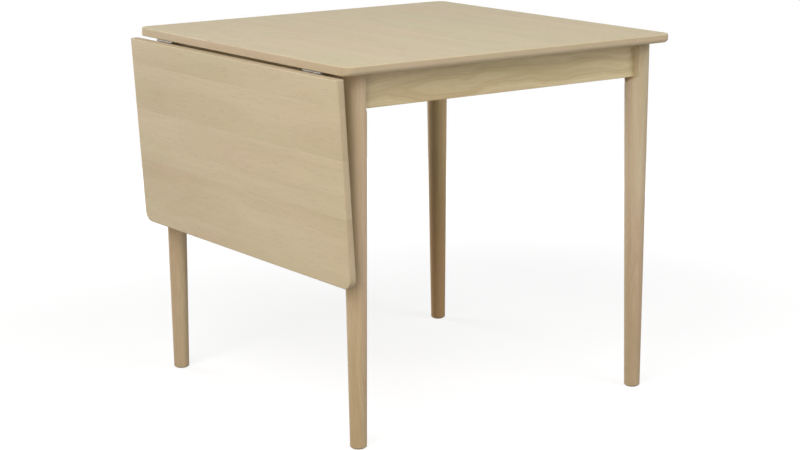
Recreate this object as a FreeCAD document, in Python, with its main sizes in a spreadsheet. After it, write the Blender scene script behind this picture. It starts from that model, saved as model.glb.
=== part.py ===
import FreeCAD, Part
import os
import re
import Sketcher

# Square dining table with one drop leaf, in millimetres.
# X runs across the hinge line with the leaf on the -X side, Y runs along it, Z is up.
# The origin is on the floor, under the middle of the whole table with its leaf hanging.

SIZES = {
    # Table top: one solid board
    "table_height": 750,
    "top_depth": 800,
    "top_width": 800,
    "board_thickness": 18,
    "corner_radius": 22,
    "face_round": 3,
    "under_round": 8,
    "joint_round": 1.5,
    # Drop leaf: as thick and as wide as the top
    "leaf_length": 399.5,
    "joint_gap": 0.5,
    # Hinge pin, under the board and just inside the top's edge
    "pin_drop": 2.5,
    "pin_inset": 1,
    "pin_radius": 1.2,
    "pin_fit": 0.05,
    # Hinge plates and knuckles
    "hinge_inset": 115,
    "hinge_length": 64,
    "plate_reach": 28,
    "plate_thickness": 1.5,
    "knuckle_radius": 2.2,
    "knuckle_gap": 0.4,
    "web_inset": 0.6,
    "plate_hole_end": 11,
    "plate_hole_near": 11,
    "plate_hole_far": 20,
    # Countersunk screws of the hinges
    "sunk_radius": 1.6,
    "sunk_head_radius": 3.1,
    "sunk_bite": 12,
    # Legs
    "leg_inset": 51,
    "foot_radius": 16.5,
    "foot_round": 3,
    "leg_top_radius": 25.5,
    "leg_flat": 14,
    "flat_run_out": 12,
    "bolt_flat": 16,
    # Glides under the feet
    "glide_height": 2,
    "glide_radius": 13,
    "glide_stem_radius": 3,
    "glide_stem_length": 16,
    # Aprons
    "apron_height": 70,
    "apron_thickness": 18,
    "apron_round": 1.5,
    # Corner blocks
    "block_set_back": 60,
    "block_thickness": 22,
    "block_height": 50,
    # Hanger bolts, washers and nuts
    "bolt_radius": 3,
    "bolt_past_axis": 10,
    "bolt_end": 5,
    "washer_radius": 9,
    "washer_thickness": 1.6,
    "nut_radius": 5.8,
    "nut_height": 5,
    # Screws through the corner blocks
    "block_screw_radius": 2,
    "block_screw_head_radius": 4,
    "block_screw_head": 3,
    "block_screw_sink": 8,
    "block_screw_bite": 12,
    # Pan-head screws of guides, brackets and stop blocks
    "pan_radius": 1.75,
    "pan_head_radius": 3.5,
    "pan_head": 2.2,
    "pan_bite": 12,
    "screw_fit": 0.05,
    # Flat steel bars that carry the raised leaf
    "bar_inset": 210,
    "bar_length": 450,
    "bar_width": 40,
    "bar_thickness": 3.5,
    "bar_gap": 0.3,
    "bar_recess": 15,
    "bar_travel": 250,
    "bar_corner_radius": 6,
    "stop_pin_radius": 3,
    "stop_pin_drop": 5,
    # Saddle guides of the bars
    "guide_length": 20,
    "guide_wall": 2,
    "guide_flange": 14,
    "guide_side_gap": 0.5,
    "guide_apron_gap": 5,
    "guide_spacing": 110,
    # Notches that let the bars through the leaf-side apron
    "notch_gap": 1,
    # Blocks that stop the bars when pushed home
    "stop_block_length": 16,
    "stop_block_height": 12,
    "stop_gap": 0.3,
    # Angle brackets between top and aprons
    "bracket_leg": 28,
    "bracket_wall": 2,
    "bracket_width": 20,
    "bracket_inset": 240,
    # How far a cutting tool runs past the wood
    "overrun": 2,
}
KNUCKLES = 5

# How little of its length an edge may rise to count as level, and must rise to count as upright
LEVEL_SHARE = 1e-6
UPRIGHT_SHARE = 0.99

# Places and sizes that follow from the ones above
DERIVED = {
    "half_depth": "top_depth / 2",
    "half_width": "top_width / 2",
    "centre_x": "(board_thickness + pin_drop - pin_inset) / 2",
    "under_top": "table_height - board_thickness",
    "hinge_edge": "centre_x - half_depth",
    "pin_x": "hinge_edge + pin_inset",
    "pin_z": "under_top - pin_drop",
    "leaf_reach": "pin_inset + joint_gap",
    "hang_turn": "90 deg + atan((pin_drop + board_thickness / 2) / (leaf_reach + leaf_length / 2))",
    "leg_out_x": "half_depth - leg_inset",
    "leg_out_y": "half_width - leg_inset",
    "apron_bottom": "under_top - apron_height",
    "apron_inside": "apron_thickness / 2",
    "diagonal": "sqrt(2) / 2",
    "cutter_reach": "leg_top_radius + overrun",
    "bolt_z": "under_top - apron_height / 2",
    "block_near": "(block_set_back + apron_inside) * diagonal",
    "block_far": "block_near + block_thickness",
    "block_reach": "block_set_back + block_thickness / diagonal",
    "washer_far": "block_far + washer_thickness",
    "nut_far": "washer_far + nut_height",
    "hinge_offset": "half_width - hinge_inset",
    "bar_offset": "half_width - bar_inset",
    "knuckle_length": f"hinge_length / {KNUCKLES}",
    "plate_near": "knuckle_radius + knuckle_gap",
    "bar_top": "under_top - bar_gap",
    "bar_bottom": "bar_top - bar_thickness",
    "bar_end": "hinge_edge + bar_recess",
    "bar_inner_end": "bar_end + bar_length",
    "guide_inside": "bar_width / 2 + guide_side_gap",
    "guide_outside": "guide_inside + guide_wall",
    "guide_hole": "guide_outside + guide_flange / 2",
    "guide_floor": "bar_bottom - bar_gap",
    "first_guide_x": "centre_x - leg_out_x + apron_inside + guide_apron_gap + guide_length / 2",
    "second_guide_x": "first_guide_x + guide_spacing",
    "stop_pin_x": "second_guide_x + guide_length / 2 + bar_travel + stop_pin_radius",
    "stop_block_x": "bar_inner_end + stop_gap",
}

doc = FreeCAD.newDocument("drop_leaf_table")
sheet = doc.addObject("Spreadsheet::Sheet", "Sizes")
for row, (size_name, size) in enumerate(SIZES.items(), start=1):
    sheet.set(f"A{row}", size_name)
    sheet.set(f"B{row}", str(size))
    sheet.setAlias(f"B{row}", size_name)
doc.recompute()

PARTS = []
ALONG = {
    "x": FreeCAD.Vector(1, 0, 0),
    "-x": FreeCAD.Vector(-1, 0, 0),
    "y": FreeCAD.Vector(0, 1, 0),
    "-y": FreeCAD.Vector(0, -1, 0),
    "z": FreeCAD.Vector(0, 0, 1),
    "-z": FreeCAD.Vector(0, 0, -1),
}
UP = ALONG["z"]


def in_sheet(formula):
    """The formula with every size's name turned into a reference to its cell."""
    def cell(word):
        name = word.group()
        if name in DERIVED:
            return "(" + in_sheet(DERIVED[name]) + ")"
        return "Sizes." + name if name in SIZES else name
    return re.sub(r"[a-z][a-z_]+", cell, formula)


def value(formula):
    """The formula's value now, for the few places that take a plain number."""
    return float(sheet.evalExpression(in_sheet(formula)))


def bind(thing, **formulas):
    for name, formula in formulas.items():
        thing.setExpression(name, in_sheet(formula))


def place(thing, x="0", y="0", z="0", turn=None):
    """Put a thing at x, y, z, turned by a rotation that keeps its angle."""
    if turn:
        thing.Placement = FreeCAD.Placement(FreeCAD.Vector(), turn)
    for name, formula in zip("xyz", (x, y, z)):
        thing.setExpression(f"Placement.Base.{name}", in_sheet(formula))
    return thing


def hang(thing, y="0"):
    """Hang a thing, drawn flat about the hinge pin, so that its middle is under the pin."""
    place(thing, "pin_x", y, "pin_z", FreeCAD.Rotation(ALONG["y"], -1))
    thing.setExpression("Placement.Rotation.Angle", in_sheet("-hang_turn"))
    return thing


def keep(label, thing):
    """Name a finished sub-part, which is then written to its own file."""
    thing.Label = label
    PARTS.append(thing)
    return thing


def box(name, x, y, z):
    """A block between the two formulas given for each axis."""
    thing = doc.addObject("Part::Box", name)
    for size_name, (low, high) in zip(("Length", "Width", "Height"), (x, y, z)):
        thing.setExpression(size_name, in_sheet(f"({high}) - ({low})"))
    return place(thing, x[0], y[0], z[0])


def rod(name, radius, length, at, axis):
    thing = doc.addObject("Part::Cylinder", name)
    bind(thing, Radius=radius, Height=length)
    return place(thing, *at, turn=FreeCAD.Rotation(UP, axis))


def fuse(name, things):
    thing = doc.addObject("Part::MultiFuse", name)
    thing.Shapes = things
    return thing


def group(name, things):
    thing = doc.addObject("Part::Compound", name)
    thing.Links = things
    return thing


def cut(name, base, tools):
    thing = doc.addObject("Part::Cut", name)
    thing.Base = base
    thing.Tool = group(name + "_tools", tools)
    return thing


def rounded(name, base, radii):
    """Round edges of base. radii gives an edge's radius at its two ends, or None to leave it."""
    doc.recompute()
    thing = doc.addObject("Part::Fillet", name)
    thing.Base = base
    numbered = [(number, radii(edge)) for number, edge in enumerate(base.Shape.Edges, start=1)]
    thing.Edges = [(number, *ends) for number, ends in numbered if ends]
    return thing


def outline(body, name, plane, points):
    """A closed sketch of straight lines on one of the body's planes, each corner set by formulas."""
    sketch = body.newObject("Sketcher::SketchObject", name)
    support = [datum for datum in body.Origin.OriginFeatures if datum.Role == plane]
    sketch.AttachmentSupport = [(support[0], "")]
    sketch.MapMode = "FlatFace"
    corners = [FreeCAD.Vector(value(across), value(up), 0) for across, up in points]
    for here, there in zip(corners, corners[1:] + corners[:1]):
        sketch.addGeometry(Part.LineSegment(here, there), False)
    for line in range(len(points)):
        after = (line + 1) % len(points)
        sketch.addConstraint(Sketcher.Constraint("Coincident", line, 2, after, 1))
    for line, (corner, formulas) in enumerate(zip(corners, points)):
        for kind, other_axis, size, formula in (
            ("DistanceX", -2, corner.x, formulas[0]),
            ("DistanceY", -1, corner.y, formulas[1]),
        ):
            if size == 0:
                sketch.addConstraint(Sketcher.Constraint("PointOnObject", line, 1, other_axis))
                continue
            ends = (-1, 1, line, 1) if size > 0 else (line, 1, -1, 1)
            signed = formula if size > 0 else f"-({formula})"
            number = sketch.addConstraint(Sketcher.Constraint(kind, *ends, abs(size)))
            sketch.setExpression(f"Constraints[{number}]", in_sheet(signed))
    return sketch


def padded(body, name, sketch, length, both_ways=False):
    pad = body.newObject("PartDesign::Pad", name)
    pad.Profile = sketch
    pad.SideType = "Symmetric" if both_ways else "One side"
    bind(pad, Length=length)
    return pad


def rectangle(x, y):
    return [(x[0], y[0]), (x[1], y[0]), (x[1], y[1]), (x[0], y[1])]


def level(edge, height):
    """Whether an edge lies at one height."""
    off = max(abs(edge.BoundBox.ZMin - height), abs(edge.BoundBox.ZMax - height))
    return off < edge.Length * LEVEL_SHARE


def upright(edge):
    return edge.BoundBox.ZLength > edge.Length * UPRIGHT_SHARE


def pan_screw(name, at, axis, grip):
    """A pan-head screw seated at a point, driven along axis through a plate of thickness grip."""
    shank = rod(name + "_shank", "pan_radius", f"{grip} + pan_bite", at, axis)
    head = rod(name + "_head", "pan_head_radius", "pan_head", at, axis.negative())
    return fuse(name, [shank, head])


def pan_drill(name, at, axis, grip):
    return rod(name, "pan_radius + screw_fit", f"{grip} + pan_bite + screw_fit", at, axis)


def sunk_cone(name, seat):
    """The cone of a countersunk head, or of its hole, through a hinge plate."""
    thing = doc.addObject("Part::Cone", name)
    bind(thing, Radius1="sunk_head_radius", Radius2="sunk_radius", Height="plate_thickness")
    return place(thing, *seat)


def sunk_screw(name, seat, wood):
    head = sunk_cone(name + "_head", seat)
    shank = rod(name + "_shank", "sunk_radius", "sunk_bite", wood, UP)
    return fuse(name, [head, shank])


def sunk_drill(name, wood):
    return rod(name, "sunk_radius + screw_fit", "sunk_bite + screw_fit", wood, UP)


# Where each screw of a hinge plate sits, from the pin and from the hinge's middle
PLATE_HOLES = [
    ("plate_hole_far", "plate_hole_end - hinge_length / 2"),
    ("plate_hole_near", "0"),
    ("plate_hole_far", "hinge_length / 2 - plate_hole_end"),
]
SIDES = {"front": "-", "back": ""}

# Collected while the pieces are made: the holes drilled into the wood
top_drills = []
leaf_drills = []
apron_drills = {"front": [], "back": [], "leaf_side": [], "far_side": []}

# Hinges: a plate under the top, a plate on the leaf, five knuckles in turn, and one pin
top_hinge_screws = []
leaf_hinge_screws = []


def hinge_plate(name, out, first_knuckle):
    """One plate drawn flat about the pin, reaching to out times +X, with every other knuckle."""
    reach = sorted([f"{out} * plate_near", f"{out} * plate_reach"], key=value)
    ends = ("-hinge_length / 2", "hinge_length / 2")
    solids = [box(name + "_plate", reach, ends, ("pin_drop - plate_thickness", "pin_drop"))]
    for turn in range(first_knuckle, KNUCKLES, 2):
        low = f"{turn} * knuckle_length - hinge_length / 2 + knuckle_gap / 2"
        high = f"{turn + 1} * knuckle_length - hinge_length / 2 - knuckle_gap / 2"
        barrel = rod(f"{name}_barrel_{turn}", "knuckle_radius", "knuckle_length - knuckle_gap",
                     ("0", low, "0"), ALONG["y"])
        web_span = sorted([f"{out} * web_inset", f"{out} * (plate_near + web_inset)"], key=value)
        web = box(f"{name}_web_{turn}", web_span, (low, high), ("pin_drop - plate_thickness", "pin_drop"))
        solids += [barrel, web]
    tools = [rod(name + "_bore", "pin_radius + pin_fit", "hinge_length + 2 * overrun",
                 ("0", "-hinge_length / 2 - overrun", "0"), ALONG["y"])]
    for number, (reach_x, along_y) in enumerate(PLATE_HOLES):
        seat = (f"{out} * {reach_x}", along_y, "pin_drop - plate_thickness")
        tools.append(sunk_cone(f"{name}_sink_{number}", seat))
    return cut(name, fuse(name + "_blank", solids), tools)


for side, sign in SIDES.items():
    middle = f"{sign}hinge_offset"
    fixed = hinge_plate(f"hinge_{side}_top_plate", "1", 0)
    keep(f"hinge_{side}_top_plate", place(fixed, "pin_x", middle, "pin_z"))
    swung = hinge_plate(f"hinge_{side}_leaf_plate", "-1", 1)
    keep(f"hinge_{side}_leaf_plate", hang(swung, middle))
    pin = rod(f"hinge_{side}_pin", "pin_radius", "hinge_length",
              ("pin_x", f"{middle} - hinge_length / 2", "pin_z"), ALONG["y"])
    keep(f"hinge_{side}_pin", pin)
    for number, (reach_x, along_y) in enumerate(PLATE_HOLES):
        name = f"hinge_{side}_{number}"
        # In the top: straight up through the plate
        seat = (f"pin_x + {reach_x}", f"{middle} + {along_y}", "under_top - plate_thickness")
        wood = (seat[0], seat[1], "under_top")
        top_hinge_screws.append(sunk_screw(name + "_top_screw", seat, wood))
        top_drills.append(sunk_drill(name + "_top_drill", wood))
        # In the leaf: the same, in the leaf's own flat frame about the pin
        seat = (f"-{reach_x}", f"{middle} + {along_y}", "pin_drop - plate_thickness")
        wood = (seat[0], seat[1], "pin_drop")
        leaf_hinge_screws.append(sunk_screw(name + "_leaf_screw", seat, wood))
        leaf_drills.append(sunk_drill(name + "_leaf_drill", wood))

keep("hinge_screws_top", group("hinge_screws_top", top_hinge_screws))
keep("hinge_screws_leaf", hang(group("hinge_screws_leaf", leaf_hinge_screws)))

# Support bars: flat steel, each in two saddle guides, with a riveted stop pin and a stop block
guide_screws = []
stop_screws = []
for side, sign in SIDES.items():
    middle = f"{sign}bar_offset"
    bar = doc.addObject("PartDesign::Body", f"support_bar_{side}_body")
    plan = outline(bar, f"support_bar_{side}_plan", "XY_Plane",
                   rectangle(("0", "bar_length"), ("-bar_width / 2", "bar_width / 2")))
    padded(bar, f"support_bar_{side}_pad", plan, "bar_thickness")
    place(bar, "bar_end", middle, "bar_bottom")
    rounded_bar = rounded(f"support_bar_{side}_rounded", bar,
                          lambda edge: upright(edge) and [value("bar_corner_radius")] * 2)
    pin_seat = ("stop_pin_x", middle, "bar_bottom - stop_pin_drop")
    pin_length = "stop_pin_drop + bar_thickness"
    bore = rod(f"support_bar_{side}_bore", "stop_pin_radius + pin_fit",
               f"{pin_length} + overrun", pin_seat, UP)
    keep(f"support_bar_{side}", cut(f"support_bar_{side}_drilled", rounded_bar, [bore]))
    keep(f"bar_stop_pin_{side}", rod(f"bar_stop_pin_{side}", "stop_pin_radius", pin_length, pin_seat, UP))

    for which in ("first", "second"):
        name = f"bar_guide_{side}_{which}"
        guide = doc.addObject("PartDesign::Body", name + "_body")
        wing = "guide_outside + guide_flange"
        hat = outline(guide, name + "_section", "YZ_Plane", [
            (f"-({wing})", "0"), (f"-({wing})", "-guide_wall"),
            ("-guide_outside", "-guide_wall"), ("-guide_outside", "guide_floor - guide_wall - under_top"),
            ("guide_outside", "guide_floor - guide_wall - under_top"), ("guide_outside", "-guide_wall"),
            (wing, "-guide_wall"), (wing, "0"),
            ("guide_inside", "0"), ("guide_inside", "guide_floor - under_top"),
            ("-guide_inside", "guide_floor - under_top"), ("-guide_inside", "0"),
        ])
        padded(guide, name + "_pad", hat, "guide_length", both_ways=True)
        place(guide, f"{which}_guide_x", middle, "under_top")
        drills = []
        for hand in ("-", ""):
            seat = (f"{which}_guide_x", f"{middle} + {hand}guide_hole", "under_top - guide_wall")
            screw = f"{name}_screw_{'near' if hand else 'away'}"
            guide_screws.append(pan_screw(screw, seat, UP, "guide_wall"))
            drills.append(pan_drill(screw + "_hole", seat, UP, "guide_wall"))
            top_drills.append(pan_drill(screw + "_drill", seat, UP, "guide_wall"))
        keep(name, cut(name + "_drilled", guide, drills))

    stop = box(f"bar_end_block_{side}_blank", ("stop_block_x", "stop_block_x + stop_block_length"),
               (f"{middle} - bar_width / 2", f"{middle} + bar_width / 2"),
               ("under_top - stop_block_height", "under_top"))
    seat = ("stop_block_x + stop_block_length / 2", middle, "under_top - stop_block_height")
    stop_screws.append(pan_screw(f"bar_end_block_{side}_screw", seat, UP, "stop_block_height"))
    hole = pan_drill(f"bar_end_block_{side}_hole", seat, UP, "stop_block_height")
    top_drills.append(pan_drill(f"bar_end_block_{side}_drill", seat, UP, "stop_block_height"))
    keep(f"bar_end_block_{side}", cut(f"bar_end_block_{side}_drilled", stop, [hole]))

keep("guide_screws", group("guide_screws", guide_screws))
keep("end_block_screws", group("end_block_screws", stop_screws))

# Angle brackets: two behind each apron, one screw up into the top and one into the apron
brackets = []
bracket_screws = []
quarter_turns = {"front": 0, "far_side": 90, "back": 180, "leaf_side": 270}
inward = {"front": "y", "far_side": "-x", "back": "-y", "leaf_side": "x"}
for apron, turn in quarter_turns.items():
    for hand in ("-", ""):
        name = f"bracket_{apron}_{'low' if hand else 'high'}"
        long_way = "leg_out_x" if apron in ("front", "back") else "leg_out_y"
        along = f"{hand}({long_way} - bracket_inset)"
        bracket = doc.addObject("PartDesign::Body", name + "_body")
        angle = outline(bracket, name + "_section", "YZ_Plane", [
            ("0", "0"), ("0", "-bracket_leg"), ("bracket_wall", "-bracket_leg"),
            ("bracket_wall", "-bracket_wall"), ("bracket_leg", "-bracket_wall"), ("bracket_leg", "0"),
        ])
        padded(bracket, name + "_pad", angle, "bracket_width", both_ways=True)
        half = "leg_out_y - apron_inside" if apron in ("front", "back") else "leg_out_x - apron_inside"
        face = {
            "front": ("centre_x + " + along, f"-({half})"),
            "back": ("centre_x + " + along, half),
            "far_side": (f"centre_x + {half}", along),
            "leaf_side": (f"centre_x - ({half})", along),
        }[apron]
        place(bracket, *face, "under_top", turn=FreeCAD.Rotation(UP, turn))
        step = {"x": ("+", "0"), "-x": ("-", "0"), "y": ("0", "+"), "-y": ("0", "-")}[inward[apron]]

        def off_face(distance):
            """A point in plan, that far inside the apron's inner face."""
            return [spot if sign == "0" else f"{spot} {sign} ({distance})" for spot, sign in zip(face, step)]

        up_seat = (*off_face("(bracket_wall + bracket_leg) / 2"), "under_top - bracket_wall")
        in_seat = (*off_face("bracket_wall"), "under_top - (bracket_wall + bracket_leg) / 2")
        out = ALONG[inward[apron]].negative()
        bracket_screws.append(pan_screw(name + "_top_screw", up_seat, UP, "bracket_wall"))
        bracket_screws.append(pan_screw(name + "_apron_screw", in_seat, out, "bracket_wall"))
        top_drills.append(pan_drill(name + "_top_drill", up_seat, UP, "bracket_wall"))
        apron_drills[apron].append(pan_drill(name + "_apron_drill", in_seat, out, "bracket_wall"))
        holes = [pan_drill(name + "_top_hole", up_seat, UP, "bracket_wall"),
                 pan_drill(name + "_apron_hole", in_seat, out, "bracket_wall")]
        brackets.append(cut(name + "_drilled", bracket, holes))

keep("top_brackets", group("top_brackets", brackets))
keep("bracket_screws", group("bracket_screws", bracket_screws))

# Legs with their glides, corner blocks, hanger bolts, washers and nuts, corner by corner
CORNERS = {
    "front_leaf": ("-", "-", "front", "leaf_side"),
    "front_far": ("", "-", "far_side", "front"),
    "back_far": ("", "", "back", "far_side"),
    "back_leaf": ("-", "", "leaf_side", "back"),
}
bolts = []
washers = []
nuts = []
block_screws = []
for corner, (x_sign, y_sign, first_apron, second_apron) in CORNERS.items():
    corner_x = f"centre_x + {x_sign}leg_out_x"
    corner_y = f"{y_sign}leg_out_y"
    quarter = FreeCAD.Rotation(UP, quarter_turns[first_apron])
    inner_x = "" if x_sign else "-"
    inner_y = "" if y_sign else "-"
    diagonal_way = FreeCAD.Vector(1 if x_sign else -1, 1 if y_sign else -1, 0)

    def on_diagonal(distance):
        """A point at bolt height, that far from the leg's axis towards the table's middle."""
        return (f"{corner_x} + {inner_x}({distance}) * diagonal",
                f"{corner_y} + {inner_y}({distance}) * diagonal", "bolt_z")

    # The leg is turned to a taper, then cut flat on its two apron sides and across its inner corner
    leg = doc.addObject("PartDesign::Body", f"leg_{corner}_body")
    taper = outline(leg, f"leg_{corner}_taper", "XZ_Plane", [
        ("0", "glide_height"), ("foot_radius", "glide_height"),
        ("leg_top_radius", "under_top"), ("0", "under_top"),
    ])
    turned = leg.newObject("PartDesign::Revolution", f"leg_{corner}_turned")
    turned.Profile = taper
    turned.ReferenceAxis = (taper, ["V_Axis"])
    soft_foot = rounded(
        f"leg_{corner}_soft_foot", leg,
        lambda edge: level(edge, value("glide_height")) and [value("foot_round")] * 2)
    flats = []
    for plane in ("XZ_Plane", "YZ_Plane"):
        flat = doc.addObject("PartDesign::Body", f"leg_{corner}_{plane}")
        section = outline(flat, f"leg_{corner}_{plane}_section", plane, [
            ("leg_flat", "apron_bottom"), ("leg_top_radius", "apron_bottom - flat_run_out"),
            ("cutter_reach", "apron_bottom - flat_run_out"), ("cutter_reach", "under_top + overrun"),
            ("leg_flat", "under_top + overrun"),
        ])
        padded(flat, f"leg_{corner}_{plane}_cut", section, "2 * cutter_reach", both_ways=True)
        flats.append(flat)
    across = box(f"leg_{corner}_across", ("0", "leg_top_radius"), ("0", "2 * leg_top_radius"),
                 ("apron_bottom", "under_top + overrun"))
    place(across, "(bolt_flat + leg_top_radius) * diagonal", "(bolt_flat - leg_top_radius) * diagonal",
          "apron_bottom", FreeCAD.Rotation(UP, 45))
    bolt_start = ("-bolt_past_axis * diagonal", "-bolt_past_axis * diagonal", "bolt_z")
    bolt_hole = rod(f"leg_{corner}_bolt_hole", "bolt_radius + screw_fit",
                    "bolt_past_axis + leg_top_radius", bolt_start, FreeCAD.Vector(1, 1, 0))
    stem_hole = rod(f"leg_{corner}_stem_hole", "glide_stem_radius + screw_fit",
                    "glide_stem_length + screw_fit", ("0", "0", "glide_height"), UP)
    leg_cut = cut(f"leg_{corner}", soft_foot, flats + [across, bolt_hole, stem_hole])
    keep(f"leg_{corner}", place(leg_cut, corner_x, corner_y, "0", quarter))

    disc = rod(f"glide_{corner}_disc", "glide_radius", "glide_height", (corner_x, corner_y, "0"), UP)
    stem = rod(f"glide_{corner}_stem", "glide_stem_radius", "glide_stem_length",
               (corner_x, corner_y, "glide_height"), UP)
    keep(f"glide_{corner}", fuse(f"glide_{corner}", [disc, stem]))

    block = doc.addObject("PartDesign::Body", f"corner_block_{corner}_body")
    plan = outline(block, f"corner_block_{corner}_plan", "XY_Plane", [
        ("block_set_back", "apron_inside"), ("block_reach", "apron_inside"),
        ("apron_inside", "block_reach"), ("apron_inside", "block_set_back"),
    ])
    padded(block, f"corner_block_{corner}_pad", plan, "block_height")
    place(block, corner_x, corner_y, "bolt_z - block_height / 2", quarter)
    holes = [rod(f"corner_block_{corner}_bolt_hole", "bolt_radius + screw_fit",
                 "block_thickness + 2 * overrun", on_diagonal("block_near - overrun"), diagonal_way)]

    # One screw through each end of the block, square into the apron that it lies against
    set_along = "(block_set_back + block_reach) / 2"
    for apron in (first_apron, second_apron):
        name = f"corner_block_{corner}_{apron}"
        if apron in ("front", "back"):
            seat_x = f"{corner_x} + {inner_x}({set_along})"
            seat = (seat_x, f"{corner_y} + {inner_y}(apron_inside + block_screw_sink)", "bolt_z")
        else:
            seat_y = f"{corner_y} + {inner_y}({set_along})"
            seat = (f"{corner_x} + {inner_x}(apron_inside + block_screw_sink)", seat_y, "bolt_z")
        out = ALONG[inward[apron]].negative()
        shank = rod(name + "_shank", "block_screw_radius", "block_screw_sink + block_screw_bite", seat, out)
        head = rod(name + "_head", "block_screw_head_radius", "block_screw_head", seat, out.negative())
        block_screws.append(fuse(name + "_screw", [shank, head]))
        holes.append(rod(name + "_hole", "block_screw_radius + screw_fit",
                         "block_screw_sink + overrun", seat, out))
        holes.append(rod(name + "_sink", "block_screw_head_radius + screw_fit",
                         "block_thickness + overrun", seat, out.negative()))
        apron_drills[apron].append(rod(name + "_drill", "block_screw_radius + screw_fit",
                                       "block_screw_sink + block_screw_bite + screw_fit", seat, out))
    keep(f"corner_block_{corner}", cut(f"corner_block_{corner}_drilled", block, holes))

    bolts.append(rod(f"bolt_{corner}", "bolt_radius", "bolt_past_axis + nut_far + bolt_end",
                     on_diagonal("-bolt_past_axis"), diagonal_way))
    disc = rod(f"washer_{corner}_disc", "washer_radius", "washer_thickness",
               on_diagonal("block_far"), diagonal_way)
    eye = rod(f"washer_{corner}_eye", "bolt_radius + screw_fit", "washer_thickness + 2 * overrun",
              on_diagonal("block_far - overrun"), diagonal_way)
    washers.append(cut(f"washer_{corner}", disc, [eye]))
    hexagon = doc.addObject("Part::Prism", f"nut_{corner}_hexagon")
    bind(hexagon, Circumradius="nut_radius", Height="nut_height")
    place(hexagon, *on_diagonal("washer_far"), turn=FreeCAD.Rotation(UP, diagonal_way))
    eye = rod(f"nut_{corner}_eye", "bolt_radius + screw_fit", "nut_height + 2 * overrun",
              on_diagonal("washer_far - overrun"), diagonal_way)
    nuts.append(cut(f"nut_{corner}", hexagon, [eye]))

keep("hanger_bolts", group("hanger_bolts", bolts))
keep("bolt_washers", group("bolt_washers", washers))
keep("bolt_nuts", group("bolt_nuts", nuts))
keep("corner_block_screws", group("corner_block_screws", block_screws))

# Aprons: plain rails between the legs' flats, eased on their lower edges
for apron, turn in quarter_turns.items():
    runs_along_x = apron in ("front", "back")
    half_span = "leg_out_x - leg_flat" if runs_along_x else "leg_out_y - leg_flat"
    out = "leg_out_y" if runs_along_x else "leg_out_x"
    rail = doc.addObject("PartDesign::Body", f"apron_{apron}_body")
    section = outline(rail, f"apron_{apron}_section", "YZ_Plane",
                      rectangle(("-apron_inside", "apron_inside"), ("-apron_height", "0")))
    padded(rail, f"apron_{apron}_pad", section, f"2 * ({half_span})", both_ways=True)
    spot = {
        "front": ("centre_x", f"-({out})"),
        "back": ("centre_x", out),
        "far_side": (f"centre_x + {out}", "0"),
        "leaf_side": (f"centre_x - {out}", "0"),
    }[apron]
    place(rail, *spot, "under_top", turn=FreeCAD.Rotation(UP, turn))
    long_way = value(half_span)
    eased = rounded(f"apron_{apron}_eased", rail, lambda edge: (
        level(edge, value("apron_bottom")) and edge.Length > long_way and [value("apron_round")] * 2))
    tools = list(apron_drills[apron])
    if apron == "leaf_side":
        for side, sign in SIDES.items():
            slot = "bar_width / 2 + notch_gap"
            tools.append(box(f"apron_notch_{side}",
                             (f"{spot[0]} - apron_thickness", f"{spot[0]} + apron_thickness"),
                             (f"{sign}bar_offset - ({slot})", f"{sign}bar_offset + {slot}"),
                             ("bar_bottom - notch_gap", "under_top + overrun")))
    keep(f"apron_{apron}", cut(f"apron_{apron}", eased, tools))


# Boards: the top and the leaf, cut to shape with round corners and then rounded along their edges
def board(name, x, y, base_z, round_corner):
    slab = doc.addObject("PartDesign::Body", name + "_slab")
    plan = outline(slab, name + "_plan", "XY_Plane", rectangle(x, y))
    padded(slab, name + "_pad", plan, "board_thickness")
    place(slab, "0", "0", base_z)
    return rounded(name + "_corners", slab,
                   lambda edge: upright(edge) and round_corner(edge) and [value("corner_radius")] * 2)


def edge_radii(edge, low, high, joint_x, joint_corners_round):
    """Radii for a board's edge: full round, small at the joint, and running out round a joint corner."""
    if level(edge, high):
        at_joint = edge.BoundBox.XMax < joint_x[1] and edge.BoundBox.XMin > joint_x[0]
        return [value("joint_round" if at_joint and not joint_corners_round else "face_round")] * 2
    if not level(edge, low):
        return None
    small, full = value("joint_round"), value("under_round")
    reaches = [joint_x[0] < edge.valueAt(end).x < joint_x[1] for end in edge.ParameterRange]
    if all(reaches):
        return [small, small]
    if joint_corners_round:
        return [small if near else full for near in reaches]
    return [full, full]


top_slab = board("table_top", ("hinge_edge", "hinge_edge + top_depth"), ("-half_width", "half_width"),
                 "under_top", lambda edge: True)
joint_line = value("hinge_edge")
band = value("overrun")
top_board = rounded("table_top_rounded", top_slab, lambda edge: edge_radii(
    edge, value("under_top"), value("table_height"), (joint_line - band, joint_line + band), True))
keep("table_top", cut("table_top", top_board, top_drills))

leaf_slab = board("drop_leaf", ("-leaf_reach - leaf_length", "-leaf_reach"), ("-half_width", "half_width"),
                  "pin_drop", lambda edge: edge.BoundBox.XMax < value("-leaf_reach - leaf_length / 2"))
joint_line = value("-leaf_reach")
leaf_board = rounded("drop_leaf_rounded", leaf_slab, lambda edge: edge_radii(
    edge, value("pin_drop"), value("pin_drop + board_thickness"),
    (joint_line - band, joint_line + band), False))
keep("drop_leaf", hang(cut("drop_leaf", leaf_board, leaf_drills)))

doc.recompute()
for thing in doc.Objects:
    if {"Invalid", "Error"} & set(thing.State):
        raise RuntimeError(f"{thing.Name} failed: {thing.State}")
for part in PARTS:
    if part.Shape.isNull() or not part.Shape.isValid():
        raise RuntimeError(f"{part.Label} has no valid shape")

os.makedirs("parts", exist_ok=True)
for part in PARTS:
    part.Shape.exportStep(f"parts/{part.Label}.step")
    print(f"{part.Label}: {len(part.Shape.Solids)} solid(s), {part.Shape.Volume / 1000:.1f} cm3")
print("leaf hangs", round(value("hang_turn"), 3), "degrees from flat; pin at",
      round(value("pin_x"), 3), round(value("pin_z"), 3))
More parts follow.
